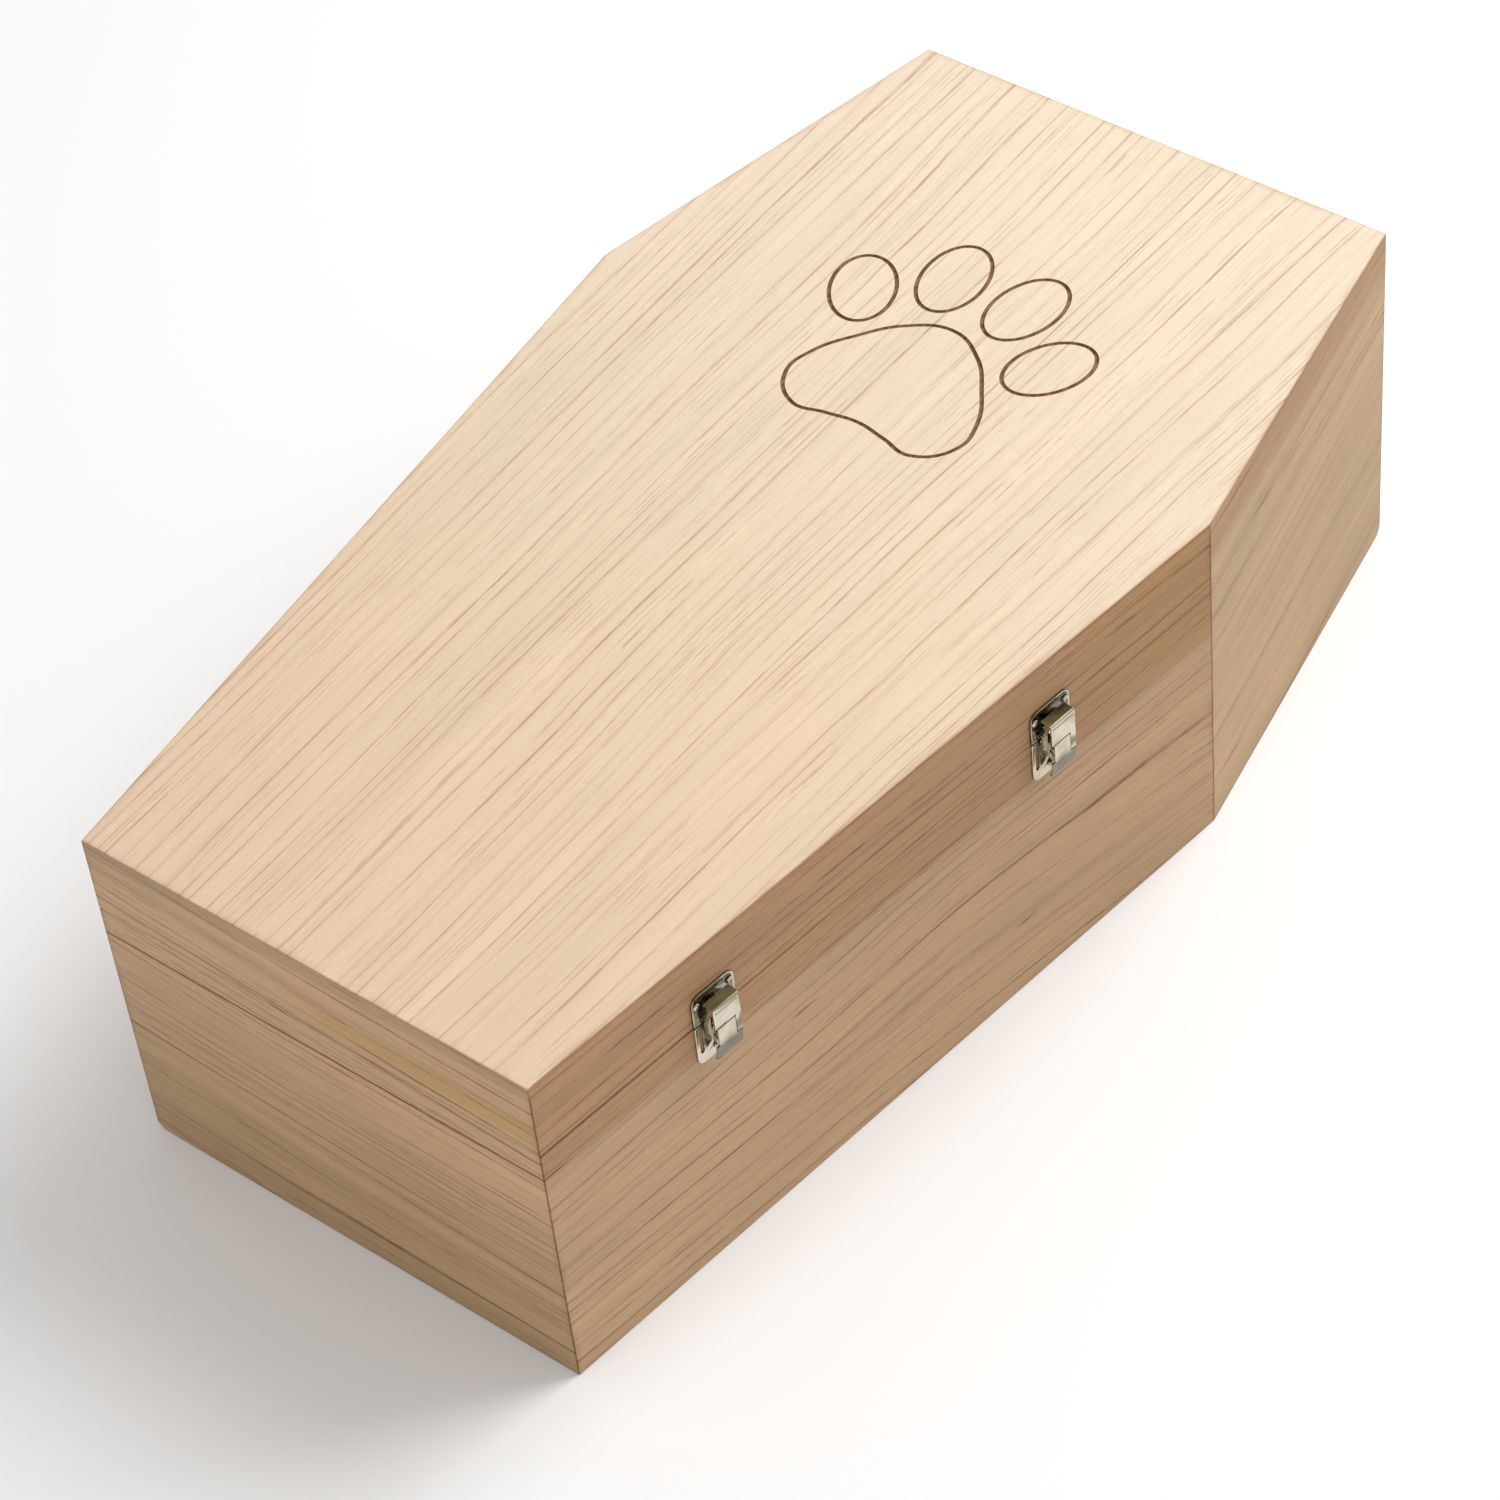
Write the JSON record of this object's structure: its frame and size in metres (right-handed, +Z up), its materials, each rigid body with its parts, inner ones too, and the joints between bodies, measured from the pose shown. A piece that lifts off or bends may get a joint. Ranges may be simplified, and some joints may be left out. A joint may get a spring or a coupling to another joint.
{
  "type": "wooden pet coffin",
  "caption": "Hexagonal wooden pet coffin with a hinged box lid, an outline paw print engraved in its top, and toggle latches along a long side.",
  "frame": {"origin": "middle of the overall box on the underside", "axes": "+Y to the head end along the length, +X to the long side with the latches, +Z up"},
  "size_m": [0.384, 0.7, 0.216],
  "materials": {
    "wood_top": "pale pine, planed and sanded, unfinished, with fine streaks along the length",
    "wood_lid": "pine, sanded, unfinished, slightly darker than the base, grain along each board",
    "wood_base": "pine, sanded, unfinished, grain along each board",
    "wood_floor": "pine board, sanded, unfinished",
    "nickel": "warm bright nickel plate on pressed steel",
    "steel": "plain steel pins"
  },
  "bodies": {
    "base": {"floor_board": "wood_floor", "base_right_side": "wood_base", "base_right_shoulder": "wood_base", "base_head_end": "wood_base", "base_left_shoulder": "wood_base", "base_left_side": "wood_base", "base_foot_end": "wood_base", "foot_latch_base_plate": "nickel", "foot_latch_base_screw_1": "nickel", "foot_latch_base_screw_2": "nickel", "foot_latch_lever_pin": "steel", "head_latch_base_plate": "nickel", "head_latch_base_screw_1": "nickel", "head_latch_base_screw_2": "nickel", "head_latch_lever_pin": "steel", "foot_hinge_base_leaf": "nickel", "foot_hinge_base_screw_1": "nickel", "foot_hinge_base_screw_2": "nickel", "foot_hinge_pin": "steel", "head_hinge_base_leaf": "nickel", "head_hinge_base_screw_1": "nickel", "head_hinge_base_screw_2": "nickel", "head_hinge_pin": "steel"},
    "lid": {"lid_top_board": "wood_top", "lid_right_side": "wood_lid", "lid_right_shoulder": "wood_lid", "lid_head_end": "wood_lid", "lid_left_shoulder": "wood_lid", "lid_left_side": "wood_lid", "lid_foot_end": "wood_lid", "foot_latch_catch_plate": "nickel", "foot_latch_catch_screw_1": "nickel", "foot_latch_catch_screw_2": "nickel", "head_latch_catch_plate": "nickel", "head_latch_catch_screw_1": "nickel", "head_latch_catch_screw_2": "nickel", "foot_hinge_lid_leaf": "nickel", "foot_hinge_lid_screw_1": "nickel", "foot_hinge_lid_screw_2": "nickel", "head_hinge_lid_leaf": "nickel", "head_hinge_lid_screw_1": "nickel", "head_hinge_lid_screw_2": "nickel"},
    "foot_lever": {"foot_latch_lever": "nickel", "foot_latch_hook_pin": "steel"},
    "foot_hook": {"foot_latch_hook": "nickel"},
    "head_lever": {"head_latch_lever": "nickel", "head_latch_hook_pin": "steel"},
    "head_hook": {"head_latch_hook": "nickel"}
  },
  "joints": [
    {"name": "lid_hinge", "type": "hinge", "parent": "base", "child": "lid", "pos_m": [-0.16739, -0.12061, 0.168], "axis": [0.1146, -0.9934, 0], "range_deg": [0, 180]},
    {"name": "foot_lever_pivot", "type": "hinge", "parent": "base", "child": "foot_lever", "pos_m": [0.15637, -0.23787, 0.1666], "axis": [-0.1146, -0.9934, 0], "range_deg": [0, 95]},
    {"name": "foot_hook_pivot", "type": "hinge", "parent": "foot_lever", "child": "foot_hook", "pos_m": [0.15598, -0.23782, 0.1614], "axis": [-0.1146, -0.9934, 0], "range_deg": [-95, 0]},
    {"name": "head_lever_pivot", "type": "hinge", "parent": "base", "child": "head_lever", "pos_m": [0.18337, -0.00392, 0.1666], "axis": [-0.1146, -0.9934, 0], "range_deg": [0, 95]},
    {"name": "head_hook_pivot", "type": "hinge", "parent": "head_lever", "child": "head_hook", "pos_m": [0.18297, -0.00387, 0.1614], "axis": [-0.1146, -0.9934, 0], "range_deg": [-95, 0]}
  ],
  "couplings": [
    {"joint": "foot_hook_pivot", "follows": "foot_lever_pivot", "ratio": -1},
    {"joint": "head_hook_pivot", "follows": "head_lever_pivot", "ratio": -1}
  ]
}
